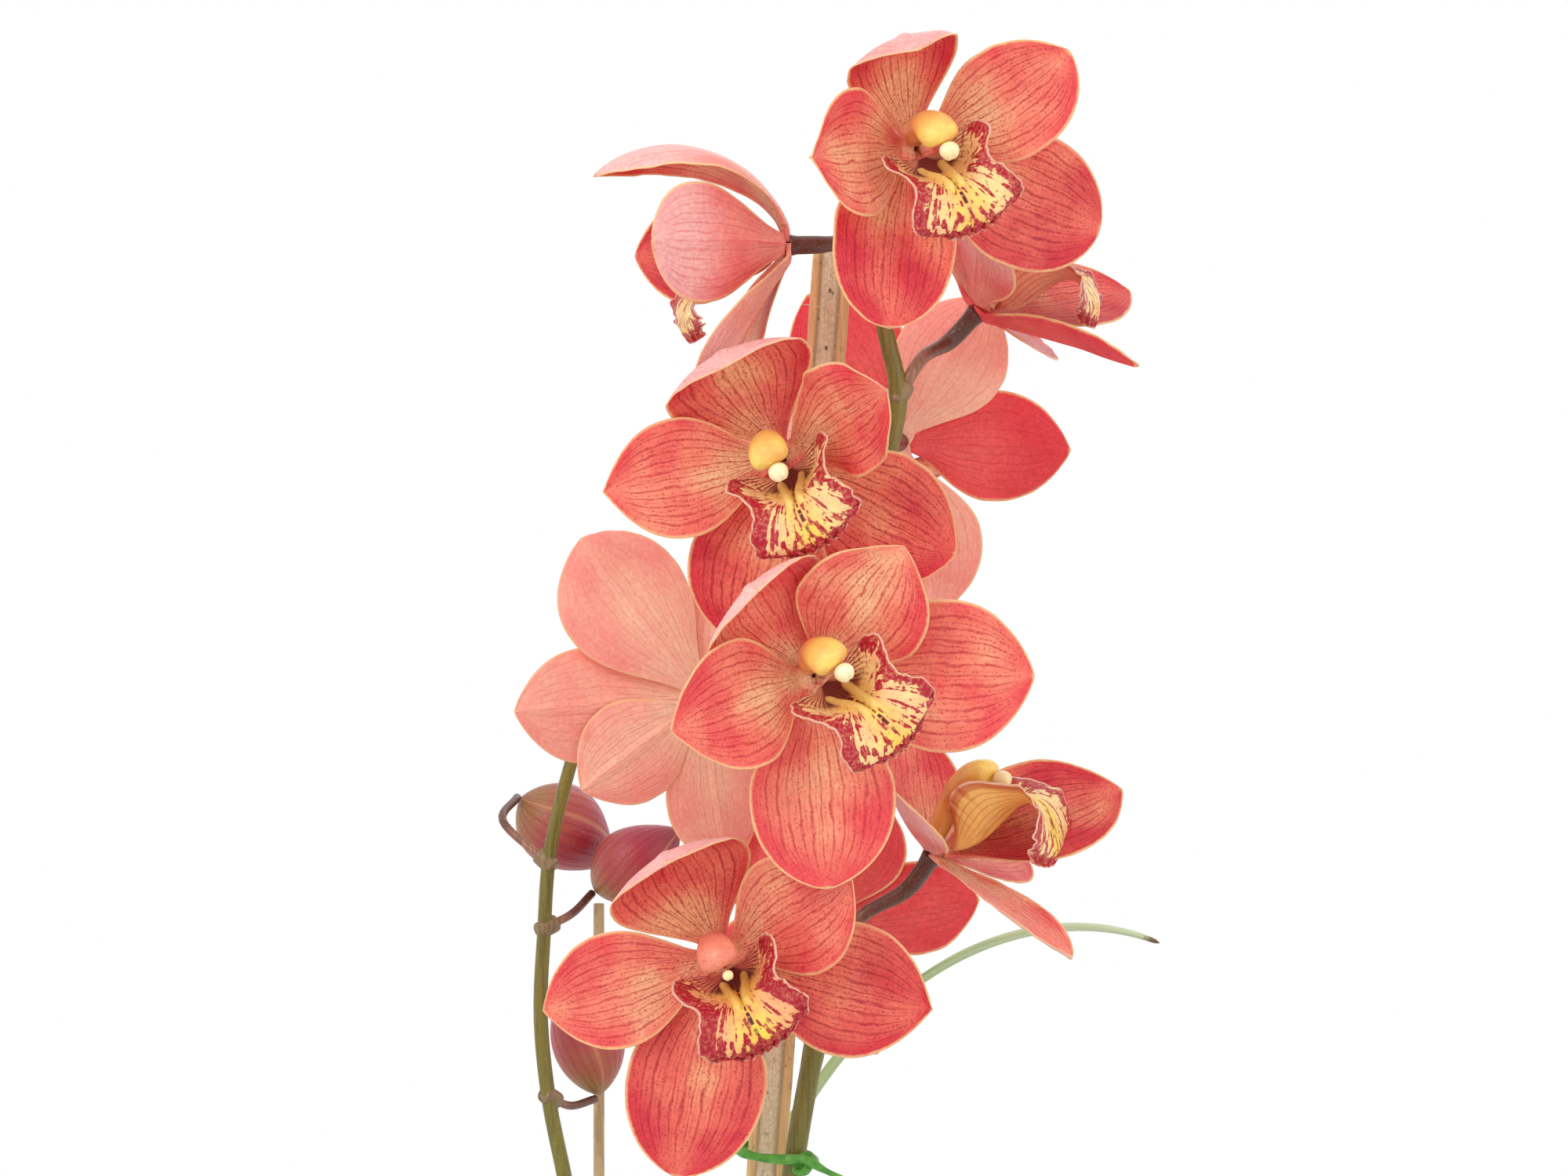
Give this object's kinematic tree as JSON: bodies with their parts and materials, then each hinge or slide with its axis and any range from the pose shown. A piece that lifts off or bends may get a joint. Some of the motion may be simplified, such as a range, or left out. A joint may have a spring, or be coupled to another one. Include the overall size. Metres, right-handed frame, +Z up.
{
  "type": "potted orchid",
  "caption": "Boat orchid in a round clay pot: an arching staked spike of red and coral flowers with cream lips, strap leaves, and a second spike in bud behind.",
  "frame": {"origin": "middle of the pot's flat underside, where it stands", "axes": "+Z up along the pot's axis; -Y is the side most of the flowers face; +X to the right as seen from -Y"},
  "size_m": [0.4932, 0.4225, 0.7891],
  "materials": {
    "sepals": "waxy satin petal, veined",
    "petals": "waxy satin petal, veined",
    "lip": "waxy satin, blotched",
    "column": "waxy satin",
    "stem": "smooth satin stem",
    "cane": "dry split cane",
    "tie": "soft matte tie",
    "clay": "unglazed terracotta",
    "bark": "loose bark chips",
    "bulb": "ribbed satin skin",
    "bud": "waxy satin bud",
    "leaf": "satin leaf"
  },
  "bodies": {
    "root": {"flower_1_sepals": "sepals", "flower_1_petals": "petals", "flower_1_lip": "lip", "flower_1_column": "column", "flower_2_sepals": "sepals", "flower_2_petals": "petals", "flower_2_lip": "lip", "flower_2_column": "column", "flower_3_sepals": "sepals", "flower_3_petals": "petals", "flower_3_lip": "lip", "flower_3_column": "column", "flower_4_sepals": "sepals", "flower_4_petals": "petals", "flower_4_lip": "lip", "flower_4_column": "column", "flower_5_sepals": "sepals", "flower_5_petals": "petals", "flower_5_lip": "lip", "flower_5_column": "column", "flower_6_sepals": "sepals", "flower_6_petals": "petals", "flower_6_lip": "lip", "flower_6_column": "column", "flower_7_sepals": "sepals", "flower_7_petals": "petals", "flower_7_lip": "lip", "flower_7_column": "column", "flower_8_sepals": "sepals", "flower_8_petals": "petals", "flower_8_lip": "lip", "flower_8_column": "column", "flower_9_sepals": "sepals", "flower_9_petals": "petals", "flower_9_lip": "lip", "flower_9_column": "column", "flower_10_sepals": "sepals", "flower_10_petals": "petals", "flower_10_lip": "lip", "flower_10_column": "column", "flower_spike": "stem", "back_spike": "stem", "stake": "cane", "back_cane": "cane", "stake_tie": "tie", "pot": "clay", "potting_mix": "bark", "pseudobulb_1": "bulb", "bud_1": "bud", "pseudobulb_2": "bulb", "bud_2": "bud", "pseudobulb_3": "bulb", "bud_3": "bud", "leaf_1": "leaf", "leaf_2": "leaf", "leaf_3": "leaf", "leaf_4": "leaf", "leaf_5": "leaf", "leaf_6": "leaf", "leaf_7": "leaf"}
  },
  "joints": []
}
